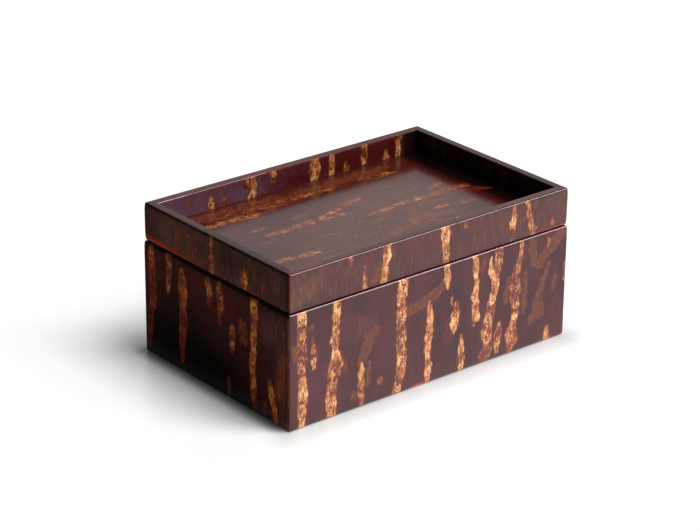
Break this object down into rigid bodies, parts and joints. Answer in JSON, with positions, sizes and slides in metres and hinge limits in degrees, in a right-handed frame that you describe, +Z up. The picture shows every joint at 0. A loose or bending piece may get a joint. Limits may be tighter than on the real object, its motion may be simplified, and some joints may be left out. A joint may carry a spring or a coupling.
{
  "type": "lidded box",
  "caption": "Rectangular wooden box covered in polished cherry bark, with a flush lift-off lid whose sunken top is a shallow tray.",
  "frame": {"origin": "centre of the underside, on the surface the box stands on", "axes": "+X along the long side, to the right as seen from the front; +Y from the front to the back; +Z up, the way the lid lifts"},
  "size_m": [0.2, 0.13, 0.09],
  "materials": {
    "polished_bark": "polished",
    "edge_bark": "polished",
    "tray_bark": "polished",
    "core_wood": "matt",
    "lining_wood": "satin"
  },
  "bodies": {
    "box": {"body_front_board": "core_wood", "body_right_board": "core_wood", "body_back_board": "core_wood", "body_left_board": "core_wood", "body_bottom_board": "core_wood", "body_front_outer_bark": "polished_bark", "body_right_outer_bark": "polished_bark", "body_back_outer_bark": "polished_bark", "body_left_outer_bark": "polished_bark", "body_front_seam_bark": "edge_bark", "body_right_seam_bark": "edge_bark", "body_back_seam_bark": "edge_bark", "body_left_seam_bark": "edge_bark", "body_front_lining_board": "lining_wood", "body_right_lining_board": "lining_wood", "body_back_lining_board": "lining_wood", "body_left_lining_board": "lining_wood", "body_underside_bark": "edge_bark", "body_floor_bark": "tray_bark"},
    "lid": {"lid_front_rail": "core_wood", "lid_right_rail": "core_wood", "lid_back_rail": "core_wood", "lid_left_rail": "core_wood", "lid_tray_panel": "core_wood", "lid_front_outer_bark": "polished_bark", "lid_right_outer_bark": "polished_bark", "lid_back_outer_bark": "polished_bark", "lid_left_outer_bark": "polished_bark", "lid_front_seam_bark": "edge_bark", "lid_right_seam_bark": "edge_bark", "lid_back_seam_bark": "edge_bark", "lid_left_seam_bark": "edge_bark", "lid_front_rim_bark": "edge_bark", "lid_right_rim_bark": "edge_bark", "lid_back_rim_bark": "edge_bark", "lid_left_rim_bark": "edge_bark", "lid_front_tray_bark": "polished_bark", "lid_right_tray_bark": "polished_bark", "lid_back_tray_bark": "polished_bark", "lid_left_tray_bark": "polished_bark", "lid_tray_floor_bark": "tray_bark", "lid_underside_bark": "tray_bark"}
  },
  "joints": [
    {"name": "lid_lift", "type": "slide", "parent": "box", "child": "lid", "axis": [0, 0, 1], "range_m": [0, 0.1]}
  ]
}
